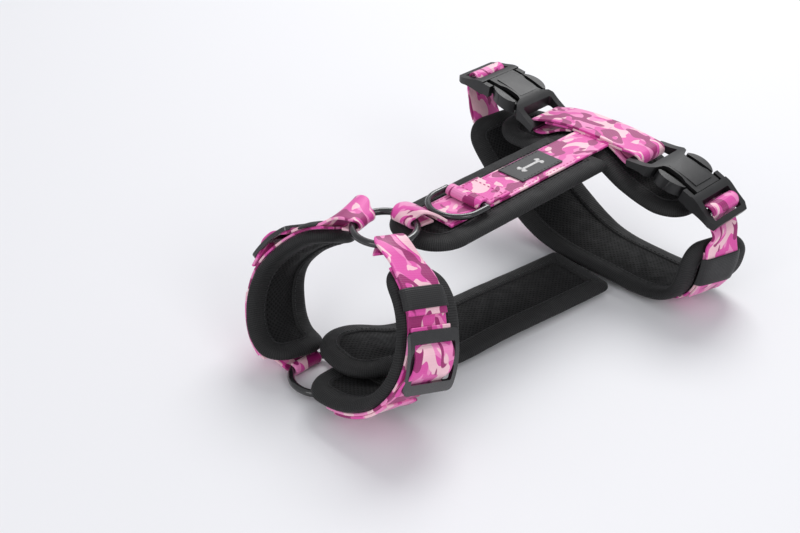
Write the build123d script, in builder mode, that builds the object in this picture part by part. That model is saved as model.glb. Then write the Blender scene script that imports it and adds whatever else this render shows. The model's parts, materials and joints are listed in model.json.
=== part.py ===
from build123d import *
import math
import os

os.makedirs("parts", exist_ok=True)

# ---------------------------------------------------------------- driving dimensions (mm)
# +X points forward to the neck opening, +Y to the dog's left, +Z up; the origin is on the floor
# under the back strap's centreline, on the underside of the chest webbing.
WEB_WIDTH = 25.0
WEB_T = 1.6
PAD_T = 7.0
SKIN_GAP = 0.2
LOOP_WIDTH = 18.0
LOOP_T = 1.4

BACK_TOP_Z = 79.0
BACK_PAD_WIDTH = 50.0
BACK_FRONT_X = 42.0
BACK_REAR_X = -102.7
BACK_END_R = 24.0
WEB_FRONT_X = 19.0

LABEL_LENGTH = 35.0
LABEL_WIDTH = 19.0
LABEL_T = 0.8
LABEL_X = -61.0
LABEL_Y = -1.5

GIRTH_X = -128.0
CROSS_FRONT_X = -103.0
CROSS_REAR_X = -151.0
CROSS_END_R = 21.0
BELLY_FRONT_X = -96.0
BELLY_REAR_X = -145.0

RING_R = 17.0
RING_WIRE_R = 2.0
TOP_RING = (48.0, -8.0, 82.9)
CHEST_RING = (88.0, -16.0, 3.7)

D_BAR_X = -6.0
D_HALF_WIDTH = 15.2
D_STRAIGHT = 8.5
D_WIRE_R = 1.75

CHEST_YAW = -6.6
CHEST_Y = 8.0
CHEST_REAR_X = -94.0
CHEST_FRONT_X = 94.0
CHEST_RISE = 13.6

NECK_LEAN = 30.0
NECK_FRONT = (75.0, 0.0, 80.0)
NECK_REAR = (34.0, 0.0, 75.0)

BUCKLE_R = 100.0
BUCKLE_HALF = 17.5
BUCKLE_SLOT_HALF = 13.2
SEAM_HEIGHT = 4.7
WINDOW_RUN = -26.5
CUT_DEPTH = 40.0


# ---------------------------------------------------------------- shared helpers
def offset_points(points, shift, first=0.0, last=1.0, count=14):
    """Points beside a smooth curve, shift to the left of its direction, between two fractions."""
    curve = Spline(*points)
    beside = []
    for i in range(count + 1):
        t = first + (last - first) * i / count
        way = curve % t
        here = curve @ t
        beside.append((here.X - way.Y * shift, here.Y + way.X * shift))
    return beside


def blend_points(front, rear, fraction):
    """Outline points part of the way from the front edge to the rear edge of a band."""
    return [
        (a[0] + (b[0] - a[0]) * fraction, a[1] + (b[1] - a[1]) * fraction)
        for a, b in zip(front, rear)
    ]


def strip_face(points, side, shift, thickness, first, last):
    """Sketch outline of a band's cross-section, shift outward from the band's middle surface."""
    outer = offset_points(points, side * (shift + thickness / 2), first, last)
    inner = offset_points(points, side * (shift - thickness / 2), first, last)
    return outer, inner


def band_sections(planes, outlines, side, shift, thickness, lo=0.0, hi=1.0, first=0.0, last=1.0):
    """Front and rear cross-sections of a strip that leans straight across a loop's width."""
    sections = []
    for fraction in (lo, hi):
        points = blend_points(outlines[0], outlines[1], fraction)
        outer, inner = strip_face(points, side, shift, thickness, first, last)
        with BuildSketch(planes(fraction)) as section:
            with BuildLine():
                far_side = Spline(*outer)
                near_side = Spline(*inner)
                Line(far_side @ 0, near_side @ 0)
                Line(far_side @ 1, near_side @ 1)
            make_face()
        sections.append(section.sketch)
    return sections


def strap_frame(planes, outlines, side, shift, along, lo, hi):
    """Frame on a band: origin mid-width, x along it, z out of the body; also half its width."""
    step = 0.01
    spots = []
    for fraction in (lo, hi):
        points = blend_points(outlines[0], outlines[1], fraction)
        start = min(max(along - step, 0.0), 1.0 - 2 * step)
        spots.append(
            [planes(fraction).from_local_coords(p)
             for p in offset_points(points, side * shift, start, start + 2 * step, 2)]
        )
    pick = 0 if along < step else (2 if along > 1 - step else 1)
    front = spots[0][pick]
    rear = spots[1][pick]
    width = (rear - front).normalized()
    run = spots[0][2] - spots[0][0] + spots[1][2] - spots[1][0]
    normal = width.cross(run).normalized() * -side
    ahead = (run - width * run.dot(width)).normalized()
    return Plane(origin=(front + rear) / 2, x_dir=ahead, z_dir=normal), (rear - front).length / 2


def corner_cutter(frame, half_width, radius, inward):
    """Waste outside a pad's rounded end; inward is +1 where the frame's x points into the pad."""
    centre = half_width - radius
    with BuildSketch(frame) as waste:
        with Locations((0, half_width), (0, -half_width)):
            Rectangle(2 * radius, 2 * radius)
        with Locations((inward * radius, centre), (inward * radius, -centre)):
            Circle(radius, mode=Mode.SUBTRACT)
    return waste.sketch


def make_pad_band(planes, outlines, side, radius):
    """Padded band over the whole loop outline with both ends rounded."""
    start, start_half = strap_frame(planes, outlines, side, 0, 0.0, 0, 1)
    finish, finish_half = strap_frame(planes, outlines, side, 0, 1.0, 0, 1)
    with BuildPart() as pad:
        loft(sections=band_sections(planes, outlines, side, 0, PAD_T), ruled=True)
        for frame, half, inward in ((start, start_half, 1), (finish, finish_half, -1)):
            waste = corner_cutter(frame, half, radius, inward)
            extrude(waste, amount=2 * PAD_T, both=True, mode=Mode.SUBTRACT)
    return pad


def make_strip_band(planes, outlines, side, shift, thickness, lo, hi, first, last):
    """Webbing or keeper lying on a padded band."""
    sections = band_sections(planes, outlines, side, shift, thickness, lo, hi, first, last)
    with BuildPart() as strip:
        loft(sections=sections, ruled=True)
    return strip


def neck_plane(fraction):
    """Plane of the neck loop, from its front edge (0) to its rear edge (1)."""
    lean = math.radians(NECK_LEAN)
    origin = [a + (b - a) * fraction for a, b in zip(NECK_FRONT, NECK_REAR)]
    return Plane(origin=origin, x_dir=(0, 1, 0), z_dir=(math.cos(lean), 0, math.sin(lean)))


def girth_plane(fraction):
    """Upright plane across the belly loop, from its front edge (0) to its rear edge (1)."""
    x = BELLY_FRONT_X + (BELLY_REAR_X - BELLY_FRONT_X) * fraction
    return Plane(origin=(x, 0, 0), x_dir=(0, 1, 0), z_dir=(1, 0, 0))


def save(builder, label):
    builder.part.label = label
    export_step(builder.part, f"parts/{label}.step")
    return builder.part


# ---------------------------------------------------------------- back strap
def make_back_pad():
    length = BACK_FRONT_X - BACK_REAR_X
    with BuildPart() as pad:
        with BuildSketch(Plane.XY.offset(BACK_TOP_Z - PAD_T)):
            with Locations(((BACK_FRONT_X + BACK_REAR_X) / 2, 0)):
                Rectangle(length, BACK_PAD_WIDTH)
        extrude(amount=PAD_T)
        fillet(pad.edges().filter_by(Axis.Z).sort_by(Axis.X)[-2:], radius=BACK_END_R)
        fillet(pad.faces().sort_by(Axis.Z)[-1].edges().filter_by(Axis.X), radius=2.0)
        fillet(pad.faces().sort_by(Axis.Z)[0].edges().filter_by(Axis.X), radius=2.0)
    save(pad, "back_pad")


def make_back_webbing():
    rear = GIRTH_X - WEB_WIDTH / 2 + 2
    with BuildPart() as webbing:
        with BuildSketch(Plane.XY.offset(BACK_TOP_Z + SKIN_GAP / 2)):
            with Locations(((WEB_FRONT_X + rear) / 2, 0)):
                Rectangle(WEB_FRONT_X - rear, WEB_WIDTH)
        extrude(amount=WEB_T)
    save(webbing, "back_webbing")


def make_label():
    with BuildPart() as label:
        with BuildSketch(Plane.XY.offset(BACK_TOP_Z + SKIN_GAP + WEB_T + SKIN_GAP / 2)):
            with Locations((LABEL_X, LABEL_Y)):
                RectangleRounded(LABEL_LENGTH, LABEL_WIDTH, 0.8)
        extrude(amount=LABEL_T)
        fillet(label.faces().sort_by(Axis.Z)[-1].edges(), radius=0.3)
    save(label, "label")


D_BAR_Z = BACK_TOP_Z + SKIN_GAP + WEB_T + 0.3 + D_WIRE_R


def make_d_ring():
    with BuildPart() as ring:
        with BuildLine(Plane.XY.offset(D_BAR_Z)) as path:
            arc_x = D_BAR_X + D_STRAIGHT
            Line((D_BAR_X, -D_HALF_WIDTH), (arc_x, -D_HALF_WIDTH))
            ThreePointArc((arc_x, -D_HALF_WIDTH), (arc_x + D_HALF_WIDTH, 0), (arc_x, D_HALF_WIDTH))
            Line((arc_x, D_HALF_WIDTH), (D_BAR_X, D_HALF_WIDTH))
        with BuildSketch(Plane(origin=path.line @ 0, z_dir=path.line % 0)):
            Circle(D_WIRE_R)
        sweep()
        with BuildSketch(Plane.XZ.offset(D_HALF_WIDTH)):
            with Locations((D_BAR_X, D_BAR_Z)):
                Circle(D_WIRE_R)
        extrude(amount=-2 * D_HALF_WIDTH)
        for side in (-D_HALF_WIDTH, D_HALF_WIDTH):
            with Locations((D_BAR_X, side, D_BAR_Z)):
                Sphere(D_WIRE_R)
    save(ring, "d_ring")


def make_d_ring_strap():
    """Short webbing bridge sewn over the D-ring's bar."""
    low = BACK_TOP_Z + SKIN_GAP + WEB_T + SKIN_GAP / 2 + LOOP_T / 2
    hump_r = D_WIRE_R + 0.7 + LOOP_T / 2
    with BuildPart() as strap:
        with BuildSketch(Plane.XZ.offset(WEB_WIDTH / 2)):
            with BuildLine():
                Line((D_BAR_X - 22, low), (D_BAR_X - 9, low))
                Spline(
                    (D_BAR_X - 9, low),
                    (D_BAR_X - hump_r, D_BAR_Z + 0.6),
                    (D_BAR_X, D_BAR_Z + hump_r),
                    (D_BAR_X + hump_r, D_BAR_Z - 0.2),
                    tangents=[(1, 0), (0.1, -1)],
                )
            trace(line_width=LOOP_T)
        extrude(amount=-WEB_WIDTH)
    save(strap, "d_ring_strap")


# ---------------------------------------------------------------- rings and their sewn loops
def make_ring(label, centre):
    with BuildPart() as ring:
        with Locations(centre):
            Torus(RING_R, RING_WIRE_R)
    save(ring, label)


def make_wire_loop(label, centre, heading, low_reach, high_reach, high_drop=0.0):
    """Webbing folded round a ring's wire, heading is the way it leaves the ring."""
    turn = math.radians(heading)
    outward = (math.cos(turn), math.sin(turn), 0)
    across = (math.sin(turn), -math.cos(turn), 0)
    rise = RING_WIRE_R + 0.3 + LOOP_T / 2
    inner_wire = math.sqrt(RING_R**2 - (LOOP_WIDTH / 2) ** 2) - RING_WIRE_R
    fold = inner_wire - 0.4 - LOOP_T / 2 + rise
    side = Plane(origin=centre, x_dir=outward, z_dir=across)
    with BuildPart() as loop:
        with BuildSketch(side):
            with BuildLine():
                Line((low_reach, -rise), (fold, -rise))
                ThreePointArc((fold, -rise), (fold - rise, 0), (fold, rise))
                past_wire = RING_R + RING_WIRE_R + 0.5
                Line((fold, rise), (past_wire, rise))
                if high_reach > past_wire:
                    Line((past_wire, rise), (high_reach, rise - high_drop))
            trace(line_width=LOOP_T)
        extrude(amount=LOOP_WIDTH / 2, both=True)
    save(loop, label)


# ---------------------------------------------------------------- neck loop
# Outlines of the neck pads' middle surface: (across, up) in the leaning plane, top to bottom.
NECK_LEFT = (
    [(14, 0), (27, -7), (40, -22), (45.5, -42), (39, -62), (22, -73.5), (-6, -76)],
    [(18, -9), (32, -15), (45.5, -28), (51, -43), (47, -61), (30, -73), (-6, -70.5)],
)
NECK_RIGHT = (
    [(-27, 1), (-38, -4), (-52, -17), (-62.5, -36), (-60, -56), (-46, -70.5), (-28, -73)],
    [(-30, -12), (-43, -18), (-57, -29), (-64, -43), (-58, -60), (-42, -74), (-24, -73.5)],
)
NECK_PAD_END_R = 15.0
NECK_WEB_LO = 0.13
NECK_WEB_HI = 0.70
NECK_WEB_SHIFT = PAD_T / 2 + SKIN_GAP + WEB_T / 2
KEEPER_SHIFT = PAD_T / 2 + SKIN_GAP + WEB_T + SKIN_GAP + 0.6
KEEPER_T = 1.2


def make_neck_side(hand, outlines, side, keeper_span, web_span):
    save(make_pad_band(neck_plane, outlines, side, NECK_PAD_END_R), f"neck_pad_{hand}")
    webbing = make_strip_band(
        neck_plane, outlines, side, NECK_WEB_SHIFT, WEB_T, NECK_WEB_LO, NECK_WEB_HI, *web_span
    )
    save(webbing, f"neck_webbing_{hand}")
    lo = NECK_WEB_LO - 0.05
    hi = NECK_WEB_HI + 0.05
    keeper = make_strip_band(
        neck_plane, outlines, side, KEEPER_SHIFT, KEEPER_T, lo, hi, *keeper_span
    )
    save(keeper, f"neck_keeper_{hand}")


# ---------------------------------------------------------------- tri-glides
GLIDE_WIDTH = 31.0
GLIDE_LENGTH = 30.0
GLIDE_T = 2.4
GLIDE_R = {"left": 39.0, "right": 58.0}
GLIDE_CLEAR = 3.0
GLIDE_END_BAR = 4.6
GLIDE_MIDDLE_BAR = 4.0
GLIDE_WINDOW_WIDTH = 25.8


def arc_spot(radius, run, height):
    """Point on a curved layer: run along the arc, height above it, arc centre straight below."""
    angle = run / radius
    return ((radius + height) * math.sin(angle), (radius + height) * math.cos(angle) - radius)


def arc_face(plane, radius, start, end, low, high):
    """Side of a curved bar: two concentric arcs closed by straight ends."""
    middle = (start + end) / 2
    with BuildSketch(plane) as face:
        with BuildLine():
            over = ThreePointArc(*[arc_spot(radius, run, high) for run in (start, middle, end)])
            under = ThreePointArc(*[arc_spot(radius, run, low) for run in (start, middle, end)])
            Line(over @ 0, under @ 0)
            Line(over @ 1, under @ 1)
        make_face()
    return face.sketch


def make_tri_glide(hand, outlines, side, along):
    shift = NECK_WEB_SHIFT + WEB_T / 2
    frame, _ = strap_frame(neck_plane, outlines, side, shift, along, NECK_WEB_LO, NECK_WEB_HI)
    radius = GLIDE_R[hand]
    profile = Plane(origin=frame.origin, x_dir=frame.x_dir, z_dir=-frame.y_dir)
    half = GLIDE_LENGTH / 2
    opening = (GLIDE_LENGTH - 2 * GLIDE_END_BAR - GLIDE_MIDDLE_BAR) / 2
    opening_at = (opening + GLIDE_MIDDLE_BAR) / 2
    with BuildPart() as glide:
        body = arc_face(profile, radius, -half, half, GLIDE_CLEAR, GLIDE_CLEAR + GLIDE_T)
        extrude(body, amount=GLIDE_WIDTH / 2, both=True)
        fillet(
            glide.edges().filter_by(lambda e: abs(e.length - GLIDE_T) < 0.3), radius=3.0
        )
        with BuildSketch(frame):
            with Locations((-opening_at, 0), (opening_at, 0)):
                RectangleRounded(opening, GLIDE_WINDOW_WIDTH, 1.0)
        extrude(amount=GLIDE_CLEAR + GLIDE_T + 6, mode=Mode.SUBTRACT)
    save(glide, f"tri_glide_{hand}")
    rise = GLIDE_CLEAR + GLIDE_T + 1.4
    tail = GLIDE_CLEAR - 1.0
    with BuildPart() as loop:
        with BuildSketch(profile):
            with BuildLine():
                Spline(
                    arc_spot(radius, -half, tail),
                    arc_spot(radius, -half + GLIDE_END_BAR, tail),
                    arc_spot(radius, -3.6, rise - 0.5),
                    arc_spot(radius, 0, rise),
                    arc_spot(radius, 3.6, rise - 0.5),
                    arc_spot(radius, half - GLIDE_END_BAR, tail),
                    arc_spot(radius, half, tail),
                )
            trace(line_width=LOOP_T)
        extrude(amount=GLIDE_WINDOW_WIDTH / 2 - 0.5, both=True)
    save(loop, f"glide_loop_{hand}")
    centre = frame.origin - frame.z_dir * radius
    print("glide", hand, "axis point", centre, "axis", frame.y_dir)


# ---------------------------------------------------------------- chest strap
def chest_profile_plane():
    turn = math.radians(CHEST_YAW)
    return Plane(
        origin=(0, CHEST_Y, 0), x_dir=(math.cos(turn), math.sin(turn), 0),
        z_dir=(math.sin(turn), -math.cos(turn), 0),
    )


def make_chest():
    under = WEB_T + SKIN_GAP + PAD_T / 2
    with BuildPart() as pad:
        with BuildSketch(chest_profile_plane()):
            with BuildLine():
                Line((CHEST_REAR_X, under), (34, under))
                Spline(
                    (34, under), (64, under + CHEST_RISE), (CHEST_FRONT_X, under + CHEST_RISE + 1.6),
                    tangents=[(1, 0), (1, 0.08)],
                )
            trace(line_width=PAD_T)
        extrude(amount=BACK_PAD_WIDTH / 2, both=True)
        ends = pad.edges().filter_by(lambda e: abs(e.length - PAD_T) < 0.2)
        fillet(ends.sort_by(Axis.X)[-2:], radius=22)
        fillet(ends.sort_by(Axis.X)[:2], radius=6)
    save(pad, "chest_pad")
    with BuildPart() as webbing:
        with BuildSketch(chest_profile_plane()):
            with BuildLine():
                Line((CHEST_REAR_X + 2, WEB_T / 2), (44, WEB_T / 2))
            trace(line_width=WEB_T)
        extrude(amount=WEB_WIDTH / 2, both=True)
    save(webbing, "chest_webbing")


# ---------------------------------------------------------------- belly loop
# Middle surface of the belly pad: (across, up), from the near side under the belly to the far side.
BELLY = (
    [(83.5, 50), (83.5, 40), (82, 28), (76, 13), (62, 6.4), (35, 5.8), (5, 6.1), (-22, 10), (-45, 23),
     (-67, 42), (-80, 58), (-84, 68)],
    [(90.5, 44), (94.5, 37), (95, 28), (90, 15), (78, 7.8), (55, 5.8), (30, 6.1), (11, 8.8), (-7, 17),
     (-26, 29), (-52, 46), (-84, 64)],
)


def even(points, count):
    """The same outline with its points spread evenly along it."""
    curve = Spline(*points)
    return [((curve @ (i / count)).X, (curve @ (i / count)).Y) for i in range(count + 1)]


BELLY_EVEN = (even(BELLY[0], 12), even(BELLY[1], 12))
BELLY_WEB_SHIFT = PAD_T / 2 + SKIN_GAP + WEB_T / 2 + 0.05
BELLY_WEB_LO = 0.23
BELLY_WEB_HI = 0.74


def make_belly():
    save(make_pad_band(girth_plane, BELLY_EVEN, 1, NECK_PAD_END_R), "belly_pad")
    webbing = make_strip_band(
        girth_plane, BELLY_EVEN, 1, BELLY_WEB_SHIFT, WEB_T, BELLY_WEB_LO, BELLY_WEB_HI, 0.03, 0.97
    )
    save(webbing, "belly_webbing")
    for hand, first, last in (("left", 0.04, 0.115), ("right", 0.885, 0.96)):
        keeper = make_strip_band(
            girth_plane, BELLY_EVEN, 1, KEEPER_SHIFT, KEEPER_T, 0.16, 0.82, first, last
        )
        save(keeper, f"belly_keeper_{hand}")


# ---------------------------------------------------------------- cross strap on the back
CROSS_PAD_LINE = [
    (-71, 67), (-60, 63.8), (-48, 63.2), (-36, 64.8), (-23, 70.8), (-9, 74.8), (5, 74.6), (18, 70),
    (30, 64.2), (52, 58.5), (71, 55.5),
]
CROSS_WEB_Z = BACK_TOP_Z + SKIN_GAP + WEB_T + SKIN_GAP / 2 + LOOP_T / 2
BAR_WRAP_R = 2.9 + 0.3 + LOOP_T / 2
FOLD_TAIL = 5.0


def make_cross_pad():
    centre_x = (CROSS_FRONT_X + CROSS_REAR_X) / 2
    half = (CROSS_FRONT_X - CROSS_REAR_X) / 2
    with BuildPart() as pad:
        with BuildSketch(Plane(origin=(centre_x, 0, 0), x_dir=(0, 1, 0), z_dir=(1, 0, 0))):
            with BuildLine():
                Spline(*CROSS_PAD_LINE)
            trace(line_width=PAD_T)
        extrude(amount=half, both=True)
        for end, inward in ((0, 1), (-1, -1)):
            y, z = CROSS_PAD_LINE[end]
            beside = CROSS_PAD_LINE[1] if end == 0 else CROSS_PAD_LINE[-2]
            run = Vector(0, beside[0] - y, beside[1] - z).normalized() * inward
            frame = Plane(origin=(centre_x, y, z), x_dir=run, z_dir=Vector(1, 0, 0).cross(run))
            waste = corner_cutter(frame, half, CROSS_END_R, inward)
            extrude(waste, amount=2 * PAD_T, both=True, mode=Mode.SUBTRACT)
    save(pad, "cross_pad")


def make_cross_webbing(left_bar, right_bar):
    with BuildPart() as webbing:
        with BuildSketch(Plane(origin=(GIRTH_X, 0, 0), x_dir=(0, 1, 0), z_dir=(1, 0, 0))):
            with BuildLine():
                ly, lz = left_bar
                ry, rz = right_bar
                r = BAR_WRAP_R
                Line((ly - FOLD_TAIL, lz - r), (ly, lz - r))
                ThreePointArc((ly, lz - r), (ly + r, lz), (ly, lz + r))
                Spline((ly, lz + r), (12, CROSS_WEB_Z), tangents=[(-1, 0.1), (-1, 0)])
                Line((12, CROSS_WEB_Z), (-14, CROSS_WEB_Z))
                Spline((-14, CROSS_WEB_Z), (ry, rz + r), tangents=[(-1, 0), (-1, -0.1)])
                ThreePointArc((ry, rz + r), (ry - r, rz), (ry, rz - r))
                Line((ry, rz - r), (ry + FOLD_TAIL, rz - r))
            trace(line_width=LOOP_T)
        extrude(amount=WEB_WIDTH / 2 - 0.3, both=True)
    save(webbing, "cross_webbing")


# ---------------------------------------------------------------- side-release buckles
# Each buckle is curved to the body.  Its own frame: x along the strap, outward from the seam
# between the two halves, z out of the body; the curve's centre is BUCKLE_R below the seam.
FEMALE_TOP = [(-45, 2.0), (-41, 2.2), (-34, 2.8), (-28, 4.3), (-14, 4.9), (0, 4.6)]
FEMALE_LOW = [(-45, -2.0), (-41, -2.2), (-34, -2.8), (-28, -4.0), (-14, -4.2), (0, -4.2)]
MALE_TOP = [(0.3, 4.6), (5, 4.2), (10, 3.0), (17, 2.2), (22, 2.0)]
MALE_LOW = [(0.3, -4.2), (5, -3.6), (10, -2.8), (17, -2.2), (22, -2.0)]
FEMALE_PLAN = [(0, 11), (-9, 11), (-13, 9.4), (-23, 9.2), (-25.5, 10.4), (-27.5, 15.5),
               (-30, BUCKLE_HALF), (-44, BUCKLE_HALF), (-46, 15)]
MALE_PLAN = [(0.3, 17.2), (4, BUCKLE_HALF), (18, BUCKLE_HALF), (22, 15)]
FEMALE_BAR_RUN = -43.0
FEMALE_SLOT_RUN = -36.0
FEMALE_SLOT = 9.5
MALE_SLOTS = [(7.8, 4.6), (15.8, 5.4)]
SLOT_CORNER_R = 0.8
POCKET_END = -27.0
SPINE_HALF = 3.0
PANEL_HALF = 7.8
PANEL_TOP = 5.15
CHEEK_ACROSS = 15.5
CHEEK_HALF = 1.7
POCKET = 2.5


def buckle_planes(seam, slope, outward):
    """Side plane (profile) and top plane (plan) of a buckle whose seam top is at (y, z)."""
    tilt = math.radians(slope)
    along = Vector(0, outward * math.cos(tilt), -math.sin(tilt))
    normal = Vector(0, outward * math.sin(tilt), math.cos(tilt))
    origin = Vector(GIRTH_X, seam[0], seam[1]) - normal * SEAM_HEIGHT
    side = Plane(origin=origin, x_dir=along, z_dir=along.cross(normal))
    top = Plane(origin=origin, x_dir=along, z_dir=normal)
    return side, top


def curved_spot(run, height):
    return arc_spot(BUCKLE_R, run, height)


def side_face(side, top_line, low_line):
    """Side of a curved body between two height lines."""
    with BuildSketch(side) as face:
        with BuildLine():
            over = Spline(*[curved_spot(*p) for p in top_line])
            under = Spline(*[curved_spot(*p) for p in low_line])
            Line(over @ 0, under @ 0)
            Line(over @ 1, under @ 1)
        make_face()
    return face.sketch


def plan_face(top, half_outline):
    """Plan outline from its half, mirrored across the strap's centreline."""
    mirrored = [(x, -w) for x, w in reversed(half_outline)]
    with BuildSketch(top) as face:
        with BuildLine():
            Polyline(*half_outline, *mirrored, close=True)
        make_face()
    return face.sketch


def make_female(hand, side, top):
    with BuildPart() as body:
        extrude(side_face(side, FEMALE_TOP, FEMALE_LOW), amount=BUCKLE_HALF, both=True)
        extrude(plan_face(top, FEMALE_PLAN), amount=CUT_DEPTH, both=True, mode=Mode.INTERSECT)
        pocket = arc_face(side, BUCKLE_R, POCKET_END, 1, -POCKET, POCKET)
        extrude(pocket, amount=BUCKLE_HALF, both=True, mode=Mode.SUBTRACT)
        with BuildSketch(top):
            with Locations((FEMALE_SLOT_RUN, 0)):
                RectangleRounded(FEMALE_SLOT, 2 * BUCKLE_SLOT_HALF, 1.5)
        extrude(amount=CUT_DEPTH, both=True, mode=Mode.SUBTRACT)
        spine = arc_face(side, BUCKLE_R, POCKET_END, -3, -POCKET - 0.5, POCKET + 0.5)
        extrude(spine, amount=SPINE_HALF, both=True)
        panel = arc_face(side, BUCKLE_R, -23, -3.5, 3.5, PANEL_TOP)
        extrude(panel, amount=PANEL_HALF, both=True)
    save(body, f"buckle_female_{hand}")


def make_male(hand, side, top):
    slot_width = 2 * BUCKLE_SLOT_HALF
    with BuildPart() as body:
        extrude(side_face(side, MALE_TOP, MALE_LOW), amount=BUCKLE_HALF, both=True)
        extrude(plan_face(top, MALE_PLAN), amount=CUT_DEPTH, both=True, mode=Mode.INTERSECT)
        with BuildSketch(top):
            for run, length in MALE_SLOTS:
                with Locations((run, 0)):
                    RectangleRounded(length, slot_width, SLOT_CORNER_R)
        extrude(amount=CUT_DEPTH, both=True, mode=Mode.SUBTRACT)
        ladder_cut = arc_face(side, BUCKLE_R, 9, 14.2, 1.4, 6)
        extrude(ladder_cut, amount=slot_width / 2, both=True, mode=Mode.SUBTRACT)
        for w in (-CHEEK_ACROSS, CHEEK_ACROSS):
            cheek = arc_face(side.offset(w), BUCKLE_R, -5.6, 0.8, -3.6, 3.9)
            extrude(cheek, amount=CHEEK_HALF, both=True)
    save(body, f"buckle_male_{hand}")


PRONG_ROOT = (-0.2, 11.2)
PRONG_ARM = [(-1.0, 9.6), (-0.4, 11.2), (-1.0, 13.0), (-8, 13.1), (-13, 13.6), (-25.5, 13.6),
             (-26, 11), (-24, 10.2), (-8, 9.4)]
GRIP = [(-6.4, 13.4), (-10, 16.6), (-15.5, 18.3), (-21.5, 17.6), (-25.6, 14.6)]
GRIP_HEEL = (-24.6, 13.3)


def make_grip(side, top, sign):
    """Smooth thumb grip standing out of the buckle's side window."""
    with BuildPart() as grip:
        extrude(arc_face(side, BUCKLE_R, WINDOW_RUN, 0, -3.7, 4.0), amount=20, both=True)
        with BuildSketch(top):
            with BuildLine():
                bulge = Spline(*[(x, sign * w) for x, w in GRIP])
                heel = (GRIP_HEEL[0], sign * GRIP_HEEL[1])
                Line(bulge @ 1, heel)
                Line(heel, bulge @ 0)
            make_face()
        extrude(amount=CUT_DEPTH, both=True, mode=Mode.INTERSECT)
    return grip.part


def make_prongs(hand, side, top, outward):
    for end, sign in (("front", -outward), ("rear", outward)):
        grip = make_grip(side, top, sign)
        slab = arc_face(side, BUCKLE_R, WINDOW_RUN, 0, -POCKET + 0.4, POCKET - 0.4)
        with BuildPart() as prong:
            extrude(slab, amount=20, both=True)
            with BuildSketch(top):
                with BuildLine():
                    Polyline(*[(x, sign * w) for x, w in PRONG_ARM], close=True)
                make_face()
            extrude(amount=CUT_DEPTH, both=True, mode=Mode.INTERSECT)
            add(grip)
        save(prong, f"buckle_prong_{hand}_{end}")
        root = top.from_local_coords((PRONG_ROOT[0], sign * PRONG_ROOT[1], 0))
        print("prong", hand, end, "root", root, "axis", top.z_dir)


def make_male_loop(hand, side, outward, tail):
    """Webbing over the ladder bar of the male half and down to the belly strap's keeper."""
    before = curved_spot(7.6, -2.6)
    over = [curved_spot(7.7, 0), curved_spot(9.2, 2.9), curved_spot(11.6, 3.5), curved_spot(14.2, 2.9)]
    after = curved_spot(15.8, 0)
    local_tail = [side.to_local_coords(Vector(GIRTH_X, y, z)) for y, z in tail]
    with BuildPart() as loop:
        with BuildSketch(side):
            with BuildLine():
                Spline(before, *over, after, *[(p.X, p.Y) for p in local_tail])
            trace(line_width=LOOP_T)
        extrude(amount=WEB_WIDTH / 2 - 0.3, both=True)
    save(loop, f"male_loop_{hand}")


def make_buckle(hand, seam, slope, outward, tail):
    side, top = buckle_planes(seam, slope, outward)
    make_female(hand, side, top)
    make_male(hand, side, top)
    make_prongs(hand, side, top, outward)
    make_male_loop(hand, side, outward, tail)
    bar = side.from_local_coords(curved_spot(FEMALE_BAR_RUN, 0))
    centre = side.origin - top.z_dir * BUCKLE_R
    print("buckle", hand, "arc centre", centre, "bar", bar)
    return bar.Y, bar.Z


# ---------------------------------------------------------------- build everything
make_back_pad()
make_back_webbing()
make_label()
make_d_ring()
make_d_ring_strap()
make_ring("top_ring", TOP_RING)
make_wire_loop("front_loop", TOP_RING, 180, 27, 27, 3.6)
make_wire_loop("top_loop_left", TOP_RING, 56, 21, 22)
make_wire_loop("top_loop_right", TOP_RING, -78, 21, 22)
make_ring("chest_ring", CHEST_RING)
make_wire_loop("chest_loop_left", CHEST_RING, 90, 30, 14)
make_wire_loop("chest_loop_right", CHEST_RING, -90, 24, 14)
make_wire_loop("chest_loop_rear", CHEST_RING, 180 + CHEST_YAW, 34, 24)
make_neck_side("left", NECK_LEFT, 1, (0.135, 0.215), (0.03, 0.86))
make_neck_side("right", NECK_RIGHT, -1, (0.05, 0.15), (0.03, 0.9))
make_tri_glide("left", NECK_LEFT, 1, 0.395)
make_tri_glide("right", NECK_RIGHT, -1, 0.33)
make_chest()
make_belly()
make_cross_pad()
left_bar = make_buckle("left", (75, 72.5), 23.5, 1, [(87, 55.5), (90, 52.6), (95.5, 50.5)])
right_bar = make_buckle("right", (-84, 91), -5.6, -1, [(-101, 80.5), (-99.5, 75), (-94, 70)])
make_cross_webbing(left_bar, right_bar)
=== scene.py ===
import json
import math

import bmesh
import bpy
import numpy as np
from mathutils import Matrix, Vector, noise

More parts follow.
